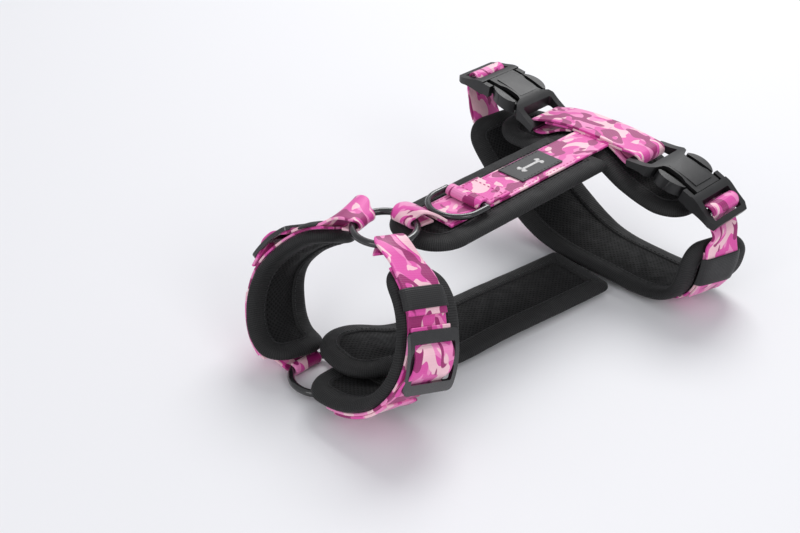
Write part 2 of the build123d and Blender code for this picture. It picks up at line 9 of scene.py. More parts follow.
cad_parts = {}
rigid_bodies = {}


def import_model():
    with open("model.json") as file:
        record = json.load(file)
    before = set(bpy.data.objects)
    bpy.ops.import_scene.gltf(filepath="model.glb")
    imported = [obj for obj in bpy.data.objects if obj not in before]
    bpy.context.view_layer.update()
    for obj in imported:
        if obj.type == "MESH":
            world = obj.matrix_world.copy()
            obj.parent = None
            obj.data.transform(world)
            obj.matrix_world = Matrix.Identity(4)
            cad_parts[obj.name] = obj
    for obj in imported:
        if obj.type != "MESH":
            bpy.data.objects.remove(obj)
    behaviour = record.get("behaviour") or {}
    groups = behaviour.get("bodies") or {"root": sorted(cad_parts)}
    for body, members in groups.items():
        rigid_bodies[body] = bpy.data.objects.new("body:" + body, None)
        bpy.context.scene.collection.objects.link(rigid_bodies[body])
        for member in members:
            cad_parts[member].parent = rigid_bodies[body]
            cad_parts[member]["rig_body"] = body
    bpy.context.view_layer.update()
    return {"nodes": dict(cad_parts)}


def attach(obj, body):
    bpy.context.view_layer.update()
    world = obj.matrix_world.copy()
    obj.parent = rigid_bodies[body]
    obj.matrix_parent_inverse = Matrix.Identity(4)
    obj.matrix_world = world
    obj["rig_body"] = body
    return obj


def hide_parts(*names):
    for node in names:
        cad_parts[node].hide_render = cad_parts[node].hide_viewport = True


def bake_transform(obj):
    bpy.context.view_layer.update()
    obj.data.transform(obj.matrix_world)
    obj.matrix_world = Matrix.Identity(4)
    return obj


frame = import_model()

# ------------------------------------------------------------------ sizes, in millimetres
MM = 0.001
WEB_WIDTH = 25.0
WEB_T = 1.5
WEB_HEIGHT = 4.35
NECK_WEB_ACROSS = -4.25
FOLD_WIDTH = 24.6
STITCH_HEIGHT = 5.2
STITCH_PITCH = 3.0
STITCH_LENGTH = 2.1
STITCH_R = 0.26

BACK_Z = 75.5
BACK_FRONT_X = 42.0
BACK_REAR_X = -102.7
PAD_WIDTH = 49.0
BELLY_FRONT_X = -96.0
BELLY_REAR_X = -145.0
CROSS_FRONT_X = -103.2
CROSS_REAR_X = -151.0
GIRTH_X = -128.0
TOP_RING = Vector((48.0, -8.0, 82.9))
CHEST_RING = Vector((88.0, -16.0, 3.7))

NECK_LEAN = math.radians(30)
NECK_FRONT = (75.0, 80.0)
NECK_REAR = (34.0, 75.0)
BUCKLE_R = 100.0


# ------------------------------------------------------------------ curves and straps
def smooth_curve(points, samples=400):
    """A natural cubic curve through the points, walked by its length and straight past its ends."""
    p = np.array(points, float)
    knots = np.r_[0, np.cumsum(np.linalg.norm(np.diff(p, axis=0), axis=1))]
    steps = np.diff(knots)
    count = len(knots)
    system = np.eye(count)
    right = np.zeros_like(p)
    for k in range(1, count - 1):
        system[k, k - 1:k + 2] = steps[k - 1], 2 * (steps[k - 1] + steps[k]), steps[k]
        right[k] = 6 * ((p[k + 1] - p[k]) / steps[k] - (p[k] - p[k - 1]) / steps[k - 1])
    bend = np.linalg.solve(system, right)
    at = np.linspace(0, knots[-1], samples)
    k = np.clip(np.searchsorted(knots, at, side="right") - 1, 0, count - 2)
    h = steps[k][:, None]
    d = (at - knots[k])[:, None]
    line = p[k] * (h - d) / h + p[k + 1] * d / h
    line += ((h - d) ** 3 / h - h * (h - d)) * bend[k] / 6 + (d ** 3 / h - h * d) * bend[k + 1] / 6
    travelled = np.r_[0, np.cumsum(np.linalg.norm(np.diff(line, axis=0), axis=1))]
    length = travelled[-1]

    def along(share):
        reach = np.asarray(share, float) * length
        found = np.stack([np.interp(reach, travelled, line[:, axis]) for axis in range(3)], axis=1)
        before = np.minimum(reach, 0)[:, None]
        after = np.maximum(reach - length, 0)[:, None]
        found += before * (line[1] - line[0]) / travelled[1]
        found += after * (line[-1] - line[-2]) / (travelled[-1] - travelled[-2])
        return found

    return along, length


class Strap:
    """A flat band between two edge curves. Places on it are along, across and height, in mm."""

    def __init__(self, front, rear, inside):
        self.front, front_length = smooth_curve(front)
        self.rear, rear_length = smooth_curve(rear)
        self.length = (front_length + rear_length) / 2
        share = np.linspace(0, 1, 21)
        self.half = np.linalg.norm(self.front(share) - self.rear(share), axis=1).mean() / 2
        self.side = 1.0
        middle = np.array([self.length / 2])
        nothing = np.zeros(1)
        outward = self.point(middle, nothing, nothing + 1) - self.point(middle, nothing, nothing)
        away = self.point(middle, nothing, nothing) - np.array(inside, float)
        if (outward * away).sum() < 0:
            self.side = -1.0

    def middle(self, along, across):
        share = along / self.length
        front = self.front(share)
        return front + (self.rear(share) - front) * ((across / self.half + 1) / 2)[:, None]

    def point(self, along, across, height):
        step = 0.6
        run = self.middle(along + step, across) - self.middle(along - step, across)
        wide = self.middle(along, across + step) - self.middle(along, across - step)
        normal = np.cross(run, wide)
        normal /= np.linalg.norm(normal, axis=1)[:, None]
        return self.middle(along, across) + normal * (height * self.side)[:, None]


def free_strap(path, across, widths, inside):
    """A band of changing width whose middle follows a path, with its width along given directions."""
    path = np.array(path, float)
    across = np.array(across, float)
    across /= np.linalg.norm(across, axis=1)[:, None]
    reach = across * np.array(widths, float)[:, None] / 2
    return Strap(path + reach, path - reach, inside)


# ------------------------------------------------------------------ mesh helpers
def shaped_grid(columns, rows, place, wraps=False):
    """A grid whose vertices are placed by a function of their column and row; its UV map is in metres."""
    bm = bmesh.new()
    uv = bm.loops.layers.uv.new("surface")
    bmesh.ops.create_grid(bm, x_segments=columns, y_segments=rows, size=1.0)
    flat = np.array([v.co[:2] for v in bm.verts])
    points, cloth = place((flat[:, 0] + 1) / 2 * columns, (flat[:, 1] + 1) / 2 * rows)
    bm.verts.index_update()
    for vert, point in zip(bm.verts, points * MM):
        vert.co = point
    for face in bm.faces:
        for loop in face.loops:
            loop[uv].uv = cloth[loop.vert.index] * MM
    if wraps:
        bmesh.ops.remove_doubles(bm, verts=bm.verts, dist=2e-6)
        edges = [e for e in bm.edges if e.is_boundary]
        if edges:
            bmesh.ops.holes_fill(bm, edges=edges, sides=0)
    bmesh.ops.recalc_face_normals(bm, faces=bm.faces)
    return bm


def make_piece(name, bm, materials, body="harness"):
    mesh = bpy.data.meshes.new(name)
    for face in bm.faces:
        face.smooth = True
    bm.to_mesh(mesh)
    bm.free()
    for material in materials:
        mesh.materials.append(material)
    obj = bpy.data.objects.new(name, mesh)
    bpy.context.scene.collection.objects.link(obj)
    if body:
        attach(obj, body)
    return obj


def add_solidify(obj, thickness, offset=0.0):
    thicken = obj.modifiers.new("thickness", "SOLIDIFY")
    thicken.thickness = thickness * MM
    thicken.offset = offset


def add_bevel(obj, width, segments=2, angle=50):
    bevel = obj.modifiers.new("edges", "BEVEL")
    bevel.width = width * MM
    bevel.segments = segments
    bevel.limit_method = "ANGLE"
    bevel.angle_limit = math.radians(angle)
    bevel.use_clamp_overlap = True


def add_subdivision(obj, levels=1):
    fine = obj.modifiers.new("fine", "SUBSURF")
    fine.levels = levels
    fine.render_levels = levels


def ease(x):
    """A smooth step from 0 to 1."""
    x = np.clip(x, 0, 1)
    return x * x * (3 - 2 * x)


def ripple(along, across, size):
    """Small unevenness of soft cloth, the same on every run."""
    places = zip(along / size, across / size)
    return np.array([noise.noise(Vector((a, b, size))) for a, b in places])


# ------------------------------------------------------------------ shader node groups
def node_group(name, inputs, outputs):
    group = bpy.data.node_groups.new(name, "ShaderNodeTree")
    for socket, kind, value in inputs:
        made = group.interface.new_socket(socket, in_out="INPUT", socket_type=kind)
        if value is not None:
            made.default_value = value
    for socket, kind in outputs:
        group.interface.new_socket(socket, in_out="OUTPUT", socket_type=kind)
    source = group.nodes.new("NodeGroupInput")
    sink = group.nodes.new("NodeGroupOutput")
    return group, source, sink


def math_node(tree, operation, first, second=None, clamp=False):
    node = tree.nodes.new("ShaderNodeMath")
    node.operation = operation
    node.use_clamp = clamp
    for k, value in enumerate((first, second)):
        if value is None:
            continue
        if isinstance(value, (int, float)):
            node.inputs[k].default_value = value
        else:
            tree.links.new(value, node.inputs[k])
    return node.outputs[0]


def mix_colours(tree, mask, first, second):
    node = tree.nodes.new("ShaderNodeMix")
    node.data_type = "RGBA"
    tree.links.new(mask, node.inputs["Factor"])
    for name, value in (("A", first), ("B", second)):
        socket = [s for s in node.inputs if s.name == name and s.type == "RGBA"][0]
        if isinstance(value, tuple):
            socket.default_value = (*value, 1)
        else:
            tree.links.new(value, socket)
    return [s for s in node.outputs if s.type == "RGBA"][0]


def noise_mask(tree, vector, scale, offset, low, high, detail=1.5, distortion=0.0):
    """A mask that is 1 inside blobs of noise and 0 outside."""
    shift = tree.nodes.new("ShaderNodeVectorMath")
    shift.operation = "ADD"
    shift.inputs[1].default_value = (offset, offset * 0.7, offset * 1.3)
    tree.links.new(vector, shift.inputs[0])
    field = tree.nodes.new("ShaderNodeTexNoise")
    field.inputs["Scale"].default_value = scale
    field.inputs["Detail"].default_value = detail
    field.inputs["Distortion"].default_value = distortion
    tree.links.new(shift.outputs[0], field.inputs["Vector"])
    ramp = tree.nodes.new("ShaderNodeMapRange")
    ramp.inputs["From Min"].default_value = low
    ramp.inputs["From Max"].default_value = high
    tree.links.new(field.outputs["Fac"], ramp.inputs["Value"])
    return ramp.outputs["Result"]


def camouflage_group():
    """Four-colour camouflage print: blobs lie lengthwise on the webbing."""
    group, source, sink = node_group(
        "camouflage_print", [("Vector", "NodeSocketVector", None)], [("Color", "NodeSocketColor")]
    )
    stretch = group.nodes.new("ShaderNodeMapping")
    stretch.inputs["Scale"].default_value = (0.62, 1.0, 1.0)
    group.links.new(source.outputs["Vector"], stretch.inputs["Vector"])
    vector = stretch.outputs["Vector"]
    colour = mix_colours(
        group, noise_mask(group, vector, 68, 3.1, 0.475, 0.484, 1.0, 0.9), LIGHT_PINK, MID_PINK
    )
    colour = mix_colours(group, noise_mask(group, vector, 82, 7.7, 0.555, 0.564, 1.0, 1.0), colour, CREAM)
    colour = mix_colours(group, noise_mask(group, vector, 78, 1.9, 0.545, 0.553, 1.0, 1.1), colour, MAGENTA)
    group.links.new(colour, sink.inputs["Color"])
    return group


def rib_group():
    """Fine ribs across a cloth, from a coordinate that runs along it."""
    group, source, sink = node_group(
        "woven_ribs",
        [("Vector", "NodeSocketVector", None), ("Pitch along", "NodeSocketFloat", 0.001),
         ("Pitch across", "NodeSocketFloat", 0.001)],
        [("Height", "NodeSocketFloat")],
    )
    parts = group.nodes.new("ShaderNodeSeparateXYZ")
    group.links.new(source.outputs["Vector"], parts.inputs[0])
    waves = []
    for axis, pitch in (("X", "Pitch along"), ("Y", "Pitch across")):
        turns = math_node(group, "DIVIDE", parts.outputs[axis], source.outputs[pitch])
        waves.append(math_node(group, "SINE", math_node(group, "MULTIPLY", turns, math.tau)))
    height = math_node(group, "ADD", waves[0], math_node(group, "MULTIPLY", waves[1], 0.45))
    group.links.new(math_node(group, "MULTIPLY_ADD", height, 0.3), sink.inputs["Height"])
    return group


def spacer_group():
    """Open holes of a spacer mesh in staggered rows."""
    group, source, sink = node_group(
        "spacer_holes",
        [("Vector", "NodeSocketVector", None), ("Pitch", "NodeSocketFloat", 0.0022)],
        [("Hole", "NodeSocketFloat"), ("Height", "NodeSocketFloat")],
    )
    parts = group.nodes.new("ShaderNodeSeparateXYZ")
    group.links.new(source.outputs["Vector"], parts.inputs[0])
    turns = [
        math_node(group, "MULTIPLY", math_node(group, "DIVIDE", parts.outputs[a], source.outputs["Pitch"]), k)
        for a, k in (("X", math.pi), ("Y", math.pi * 1.15))
    ]
    total = math_node(group, "SINE", math_node(group, "ADD", turns[0], turns[1]))
    other = math_node(group, "SINE", math_node(group, "SUBTRACT", turns[0], turns[1]))
    product = math_node(group, "ABSOLUTE", math_node(group, "MULTIPLY", total, other))
    hole = group.nodes.new("ShaderNodeMapRange")
    hole.interpolation_type = "SMOOTHSTEP"
    hole.inputs["From Min"].default_value = 0.35
    hole.inputs["From Max"].default_value = 0.75
    group.links.new(product, hole.inputs["Value"])
    group.links.new(hole.outputs["Result"], sink.inputs["Hole"])
    group.links.new(math_node(group, "SUBTRACT", 1.0, hole.outputs["Result"]), sink.inputs["Height"])
    return group


def wear_group():
    """Soft uneven tone, as of handling and dust."""
    group, source, sink = node_group(
        "handling_tone",
        [("Vector", "NodeSocketVector", None), ("Scale", "NodeSocketFloat", 90.0)],
        [("Tone", "NodeSocketFloat")],
    )
    coarse = group.nodes.new("ShaderNodeTexNoise")
    coarse.inputs["Detail"].default_value = 5
    coarse.inputs["Roughness"].default_value = 0.6
    group.links.new(source.outputs["Vector"], coarse.inputs["Vector"])
    group.links.new(source.outputs["Scale"], coarse.inputs["Scale"])
    spread = group.nodes.new("ShaderNodeMapRange")
    spread.inputs["From Min"].default_value = 0.3
    spread.inputs["From Max"].default_value = 0.7
    group.links.new(coarse.outputs["Fac"], spread.inputs["Value"])
    group.links.new(spread.outputs["Result"], sink.inputs["Tone"])
    return group


# ------------------------------------------------------------------ materials
CREAM = (0.97, 0.60, 0.68)
LIGHT_PINK = (0.92, 0.27, 0.57)
MID_PINK = (0.78, 0.075, 0.41)
MAGENTA = (0.34, 0.009, 0.15)
CAMOUFLAGE = camouflage_group()
RIBS = rib_group()
SPACER = spacer_group()
TONE = wear_group()


class Finish:
    """A material being built: its tree, its shader and a coordinate to read."""

    def __init__(self, name, coordinate="UV"):
        self.material = bpy.data.materials.new(name)
        self.material.use_nodes = True
        self.tree = self.material.node_tree
        self.shader = self.tree.nodes["Principled BSDF"]
        self.place = self.tree.nodes.new("ShaderNodeTexCoord").outputs[coordinate]

    def use(self, group, **values):
        node = self.tree.nodes.new("ShaderNodeGroup")
        node.node_tree = group
        self.tree.links.new(self.place, node.inputs["Vector"])
        for name, value in values.items():
            node.inputs[name.replace("_", " ")].default_value = value
        return node

    def colour(self, socket):
        self.tree.links.new(socket, self.shader.inputs["Base Color"])

    def roughness(self, socket, low, high):
        span = self.tree.nodes.new("ShaderNodeMapRange")
        span.inputs["To Min"].default_value = low
        span.inputs["To Max"].default_value = high
        self.tree.links.new(socket, span.inputs["Value"])
        self.tree.links.new(span.outputs["Result"], self.shader.inputs["Roughness"])

    def bump(self, height, strength, distance):
        node = self.tree.nodes.new("ShaderNodeBump")
        node.inputs["Strength"].default_value = strength
        node.inputs["Distance"].default_value = distance * MM
        self.tree.links.new(height, node.inputs["Height"])
        self.tree.links.new(node.outputs["Normal"], self.shader.inputs["Normal"])

    def set(self, **values):
        for name, value in values.items():
            self.shader.inputs[name.replace("_", " ")].default_value = value


def webbing_finish():
    finish = Finish("camouflage_webbing")
    ribs = finish.use(RIBS, Pitch_along=0.0011, Pitch_across=0.0016)
    tone = finish.use(TONE, Scale=60.0)
    printed = finish.use(CAMOUFLAGE).outputs["Color"]
    shade = math_node(finish.tree, "MULTIPLY", tone.outputs["Tone"], 0.12)
    finish.colour(mix_colours(finish.tree, shade, printed, (0.30, 0.02, 0.13)))
    finish.roughness(tone.outputs["Tone"], 0.36, 0.52)
    finish.bump(ribs.outputs["Height"], 0.45, 0.25)
    finish.set(Sheen_Weight=0.25, Sheen_Roughness=0.4, Specular_IOR_Level=0.55)
    return finish.material


def binding_finish():
    finish = Finish("ribbed_binding")
    ribs = finish.use(RIBS, Pitch_along=0.00125, Pitch_across=0.0009)
    tone = finish.use(TONE, Scale=120.0)
    height = ribs.outputs["Height"]
    # painted shade and highlight: the colour follows rib height, darker in the grooves and lighter on the
    # ridges
    mask = math_node(finish.tree, "MULTIPLY", height, 1.6, clamp=True)
    finish.colour(mix_colours(finish.tree, mask, (0.0015, 0.0015, 0.0016), (0.020, 0.020, 0.0205)))
    finish.roughness(tone.outputs["Tone"], 0.55, 0.75)
    finish.bump(height, 0.7, 0.35)
    finish.set(Sheen_Weight=0.03, Sheen_Roughness=0.4, Specular_IOR_Level=0.3)
    return finish.material


def spacer_finish():
    finish = Finish("spacer_mesh")
    holes = finish.use(SPACER, Pitch=0.0030)
    tone = finish.use(TONE, Scale=150.0)
    # painted shade: the holes are coloured near-black, darker than the mesh around them, as shade inside the
    # openings
    finish.colour(
        mix_colours(finish.tree, holes.outputs["Hole"], (0.010, 0.010, 0.0105), (0.0005, 0.0005, 0.0005))
    )
    finish.roughness(tone.outputs["Tone"], 0.6, 0.85)
    finish.bump(holes.outputs["Height"], 0.9, 0.7)
    finish.set(Sheen_Weight=0.02, Sheen_Roughness=0.5, Specular_IOR_Level=0.25)
    return finish.material


def keeper_finish():
    finish = Finish("elastic_keeper")
    ribs = finish.use(RIBS, Pitch_along=0.0009, Pitch_across=0.0013)
    tone = finish.use(TONE, Scale=90.0)
    height = ribs.outputs["Height"]
    # painted shade and highlight: the colour follows rib height, darker in the grooves and lighter on the
    # ridges
    finish.colour(mix_colours(finish.tree, height, (0.006, 0.006, 0.0065), (0.020, 0.020, 0.021)))
    finish.roughness(tone.outputs["Tone"], 0.42, 0.58)
    finish.bump(ribs.outputs["Height"], 0.5, 0.25)
    finish.set(Sheen_Weight=0.04, Sheen_Roughness=0.35, Specular_IOR_Level=0.4)
    return finish.material


def thread_finish(name, light, dark):
    finish = Finish(name, "Object")
    tone = finish.use(TONE, Scale=900.0)
    finish.colour(mix_colours(finish.tree, tone.outputs["Tone"], dark, light))
    finish.roughness(tone.outputs["Tone"], 0.4, 0.6)
    return finish.material


def moulded_finish(name, scale, low, high, rough_low, rough_high, depth):
    """Smooth hard black finish with a fine skin texture and slight tone changes."""
    finish = Finish(name, "Object")
    tone = finish.use(TONE, Scale=scale)
    fine = finish.use(TONE, Scale=2600.0)
    finish.colour(mix_colours(finish.tree, tone.outputs["Tone"], low, high))
    finish.roughness(tone.outputs["Tone"], rough_low, rough_high)
    finish.bump(fine.outputs["Tone"], 0.25, depth)
    return finish


def label_finish():
    finish = Finish("woven_label")
    ribs = finish.use(RIBS, Pitch_along=0.0006, Pitch_across=0.0006)
    height = ribs.outputs["Height"]
    # painted shade and highlight: the colour follows weave height, darker in the grooves and lighter on the
    # ridges
    finish.colour(mix_colours(finish.tree, height, (0.010, 0.010, 0.011), (0.026, 0.026, 0.028)))
    finish.roughness(ribs.outputs["Height"], 0.45, 0.6)
    finish.bump(ribs.outputs["Height"], 0.4, 0.12)
    finish.set(Sheen_Weight=0.15)
    return finish.material


WEBBING = webbing_finish()
BINDING = binding_finish()
SPACER_MESH = spacer_finish()
KEEPER = keeper_finish()
LABEL = label_finish()
PINK_THREAD = thread_finish("pink_thread", (0.80, 0.22, 0.45), (0.45, 0.04, 0.20))
PALE_THREAD = thread_finish("pale_thread", (0.85, 0.84, 0.83), (0.60, 0.59, 0.58))
BLACK_THREAD = thread_finish("black_thread", (0.030, 0.030, 0.032), (0.010, 0.010, 0.011))
PLASTIC = moulded_finish(
    "moulded_plastic", 70.0, (0.006, 0.006, 0.0065), (0.013, 0.013, 0.0135), 0.34, 0.48, 0.05
)
PLASTIC.set(Specular_IOR_Level=0.5)
METAL = moulded_finish("coated_metal", 120.0, (0.010, 0.010, 0.011), (0.020, 0.020, 0.021), 0.18, 0.3, 0.03)
METAL.set(Metallic=0.0, Coat_Weight=0.6, Coat_Roughness=0.12)


# ------------------------------------------------------------------ padded straps
def rounded_outline(length, half, start_r, end_r):
    """Walk round a pad's edge: place, inward direction and distance, all flat and in mm."""
    walk = []

    def side(start, stop, across, inward):
        count = max(2, round(abs(stop - start) / 3.0))
        for k in range(count):
            walk.append((start + (stop - start) * k / count, across, 0.0, inward))

    def corner(centre_along, centre_across, radius, first):
        count = max(4, round(radius * math.pi / 2 / 2.4))
        for k in range(count):
            turn = math.radians(first + 90 * k / count)
            walk.append((centre_along + radius * math.cos(turn), centre_across + radius * math.sin(turn),
                         -math.cos(turn), -math.sin(turn)))

    side(start_r, length - end_r, -half, 1.0)
    corner(length - end_r, end_r - half, end_r, -90)
    for k in range(2):
        walk.append((length, (half - end_r) * (2 * k / 2 - 1), -1.0, 0.0))
    corner(length - end_r, half - end_r, end_r, 0)
    side(length - end_r, start_r, half, -1.0)
    corner(start_r, half - start_r, start_r, 90)
    for k in range(2):
        walk.append((0.0, (half - start_r) * (1 - 2 * k / 2), 1.0, 0.0))
    corner(start_r, start_r - half, start_r, 180)
    walk.append(walk[0])
    walk = np.array(walk)
    distance = np.r_[0, np.cumsum(np.linalg.norm(np.diff(walk[:, :2], axis=0), axis=1))]
    return walk, distance


def inset_of(along, across, length, half, radius):
    """How far a place lies inside a pad's rounded outline."""
    over_along = np.abs(along - length / 2) - (length / 2 - radius)
    over_across = np.abs(across) - (half - radius)
    outside = np.hypot(np.maximum(over_along, 0), np.maximum(over_across, 0))
    return radius - outside - np.minimum(np.maximum(over_along, over_across), 0)


def inset_spot(walked, inset, strap):
    """The place a distance inside the outline; past a tight corner's centre it keeps to the mitre."""
    along = np.clip(walked[0] + walked[2] * inset, inset, strap.length - inset)
    across = np.clip(walked[1] + walked[3] * inset, inset - strap.half, strap.half - inset)
    return along, across


TAPE_PROFILE = [
    (11.7, 2.9), (11.3, 3.5), (10.2, 3.75), (7.6, 3.75), (4.8, 3.6), (2.7, 3.1), (1.1, 2.0), (0.2, 0.7),
    (0.2, -0.7), (1.1, -2.0), (2.7, -3.1), (4.8, -3.6), (7.6, -3.7), (9.6, -3.65), (10.6, -3.4), (11.0, -2.8),
]


def make_tape(name, strap, start_r, end_r):
    """Ribbed binding folded over the pad's edge all the way round."""
    walk, distance = rounded_outline(strap.length, strap.half, start_r, end_r)
    profile = np.array(TAPE_PROFILE)
    run = np.r_[0, np.cumsum(np.linalg.norm(np.diff(profile, axis=0), axis=1))]

    def place(column, row):
        c = np.rint(column).astype(int)
        r = np.rint(row).astype(int)
        inset = profile[r, 0]
        along, across = inset_spot(walk[c].T, inset, strap)
        height = profile[r, 1] + 0.22 * ripple(along, across + 40 * np.sign(profile[r, 1]), 9.0)
        return strap.point(along, across, height), np.stack([distance[c], run[r]], axis=1)

    bm = shaped_grid(len(walk) - 1, len(profile) - 1, place)
    bmesh.ops.remove_doubles(bm, verts=bm.verts, dist=2e-6)
    bmesh.ops.recalc_face_normals(bm, faces=bm.faces)
    tape = make_piece(name, bm, [BINDING])
    add_solidify(tape, 0.7, -1.0)
    add_subdivision(tape)
    return tape


def puff(obj, frames=14, cap=1.6, pressure=3.0):
    """Cloth simulation: the face inside the binding swells as the foam behind it pushes."""
    swell = obj.modifiers.new("swell", "CLOTH")
    settings = swell.settings
    settings.use_pressure = True
    settings.uniform_pressure_force = pressure
    settings.vertex_group_mass = "held"
    settings.pin_stiffness = 1.0
    settings.quality = 5
    settings.effector_weights.gravity = 0
    settings.tension_stiffness = 12
    settings.compression_stiffness = 12
    settings.shear_stiffness = 5
    settings.bending_stiffness = 0.4
    scene = bpy.context.scene
    for step in range(1, frames + 1):
        scene.frame_set(step)
    graph = bpy.context.evaluated_depsgraph_get()
    swollen = obj.evaluated_get(graph).data
    before = np.array([v.co for v in obj.data.vertices])
    after = np.array([v.co for v in swollen.vertices])
    move = after - before
    reach = np.linalg.norm(move, axis=1)
    move *= np.minimum(1, cap * MM / np.maximum(reach, 1e-9))[:, None]
    obj.modifiers.remove(swell)
    obj.data.vertices.foreach_set("co", (before + move).ravel())
    obj.data.update()
    scene.frame_set(1)


def make_core(name, strap, start_r, end_r, nodes):
    """Foam core with its mesh lining; the lining bulges between the binding's edges."""
    columns = 2 * max(16, round(strap.half / 1.1))
    rows = round(strap.length / 2.2)
    margin = 2.6
    half_columns = columns // 2

    def place(column, row):
        across_share = np.where(column <= half_columns, column, columns - column) / half_columns * 2 - 1
        inner = np.where(column <= half_columns, -1.0, 1.0)
        along = margin + (strap.length - 2 * margin) * (1 - np.cos(np.pi * row / rows)) / 2
        along = 0.35 * along + 0.65 * (margin + (strap.length - 2 * margin) * row / rows)
        width = np.full_like(along, strap.half - margin)
        ends = (
            (along - margin, start_r - margin),
            (strap.length - margin - along, end_r - margin),
        )
        for reach, radius in ends:
            short = np.clip(radius - reach, 0, radius)
            rounding = np.sqrt(np.maximum(radius ** 2 - short ** 2, 0))
            width = np.minimum(width, strap.half - margin - radius + rounding)
        across = across_share * width
        inset = np.minimum(inset_of(along, across, strap.length, strap.half, start_r), strap.half)
        bulge = ease((inset - 10.5) / 9.0)
        edge = ease((inset - margin) / 2.5)
        height = np.where(inner < 0, -(0.4 + 2.3 * edge + 1.1 * bulge), 0.4 + 2.4 * edge)
        cloth = np.stack([along, across + (inner + 1) * strap.half], axis=1)
        return strap.point(along, across, height), cloth

    bm = shaped_grid(columns, rows, place, wraps=True)
    core = make_piece(name, bm, [SPACER_MESH], body=None)
    held = core.vertex_groups.new(name="held")
    middle = np.array([v.co for v in core.data.vertices]) / MM
    loose = core_free_share(strap, middle)
    for index, share in enumerate(loose):
        held.add([index], float(1 - share), "REPLACE")
    puff(core)
    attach(core, "harness")
    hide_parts(*nodes)
    return core


def core_free_share(strap, points):
    """1 on the lining well inside the binding, 0 at the edges and on the outer side."""
    along = np.linspace(0, strap.length, 160)
    centre = strap.point(along, np.zeros(160), np.zeros(160))
    above = strap.point(along, np.zeros(160), np.ones(160)) - centre
    wide = strap.middle(along, np.ones(160)) - strap.middle(along, np.zeros(160))
    wide /= np.linalg.norm(wide, axis=1)[:, None]
    nearest = np.argmin(np.linalg.norm(points[:, None, :] - centre[None, :, :], axis=2), axis=1)
    offset = points - centre[nearest]
    height = (offset * above[nearest]).sum(axis=1)
    across = (offset * wide[nearest]).sum(axis=1)
    inset = np.minimum(strap.half - np.abs(across), np.minimum(along[nearest], strap.length - along[nearest]))
    return np.where(height < -0.8, ease((inset - 10.5) / 3.0), 0.0)


def make_pad(name, strap, start_r, end_r, nodes=None):
    core = make_core(f"{name}_core", strap, start_r, end_r, nodes or [name])
    tape = make_tape(f"{name}_binding", strap, start_r, end_r)
    outline_stitches(f"{name}_binding_stitches", strap, start_r, end_r)
    return core, tape


# ------------------------------------------------------------------ webbing, keepers and stitches
def make_webbing(name, strap, start, stop, height=WEB_HEIGHT, width=WEB_WIDTH, across=0.0, nodes=(),
                 thickness=WEB_T, material=None, slot="webbing", body="harness", cup=0.0, uneven=0.22,
                 pitch=2.2):
    columns = 12
    rows = max(4, round(abs(stop - start) / pitch))
    lengthwise_shift = 17.0 * len(name)

    def place(column, row):
        along = start + (stop - start) * row / rows
        beside = width * (column / columns - 0.5)
        arch = cup * (1 - (2 * beside / width) ** 8)
        lift = height + arch + uneven * ripple(along, beside, 11.0)
        cloth = np.stack([along + lengthwise_shift, beside + 12.5], axis=1)
        return strap.point(along, across + beside, lift), cloth

    web = make_piece(name, shaped_grid(columns, rows, place), [material or WEBBING], body)
    add_solidify(web, thickness)
    add_bevel(web, 0.4)
    if nodes:
        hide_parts(*nodes)
    return web


def sew(name, places, directions, material, body="harness", lengths=None):
    """Raised thread stitches, one at each place."""
    bm = bmesh.new()
    for place, direction, length in zip(places, directions, lengths or [STITCH_LENGTH] * len(places)):
        turn = Vector(direction).to_track_quat("X", "Z").to_matrix().to_4x4()
        size = Matrix.Diagonal((length / 2 * MM, STITCH_R * MM, STITCH_R * MM, 1))
        bmesh.ops.create_uvsphere(
            bm, u_segments=6, v_segments=4, radius=1.0,
            matrix=Matrix.Translation(Vector(place) * MM) @ turn @ size,
        )
    return make_piece(name, bm, [material], body)


def line_of_stitches(strap, start, stop, across, height):
    count = max(1, round(abs(stop - start) / STITCH_PITCH))
    along = start + (stop - start) * (np.arange(count) + 0.5) / count
    spread = np.full(count, across)
    lift = np.full(count, height)
    here = strap.point(along, spread, lift)
    return here, strap.point(along + 1, spread, lift) - here


def seam(name, strap, lines, material=None, body="harness"):
    """Several stitch lines, each (start, stop, across, height), as one piece."""
    found = [line_of_stitches(strap, *line) for line in lines]
    places = np.concatenate([f[0] for f in found])
    directions = np.concatenate([f[1] for f in found])
    return sew(name, places, directions, material or PINK_THREAD, body)


def cross_seam(name, strap, along, half_width, height):
    """A stitch line across the webbing, as at the end of a sewn overlap."""
    count = max(1, round(2 * half_width / STITCH_PITCH))
    beside = half_width * (2 * (np.arange(count) + 0.5) / count - 1)
    run = np.full(count, along)
    lift = np.full(count, height)
    here = strap.point(run, beside, lift)
    return sew(name, here, strap.point(run, beside + 1, lift) - here, PINK_THREAD)


def outline_stitches(name, strap, start_r, end_r):
    """Black thread along the binding's inner edge, on both faces."""
    walk, distance = rounded_outline(strap.length, strap.half, start_r, end_r)
    count = round(distance[-1] / STITCH_PITCH)
    places = []
    directions = []
    for inset, height in ((9.6, 3.95), (9.2, -3.95)):
        reach = distance[-1] * (np.arange(count) + 0.5) / count
        spots = []
        for shift in (0.0, 1.0):
            at = [np.interp((reach + shift) % distance[-1], distance, walk[:, k]) for k in range(4)]
            spots.append(strap.point(*inset_spot(at, inset, strap), np.full(count, height)))
        places.append(spots[0])
        directions.append(spots[1] - spots[0])
    return sew(name, np.concatenate(places), np.concatenate(directions), BLACK_THREAD)


def make_ribbon(name, path, across, widths, inside, nodes=(), body="harness", uneven=0.15, **more):
    """Webbing that leaves the pads: folds, loops and tails."""
    strap = free_strap(path, across, widths, inside)
    web = make_webbing(name, strap, 0, strap.length, height=0, width=2 * strap.half, nodes=nodes,
                       body=body, uneven=uneven, pitch=1.1, **more)
    return web, strap


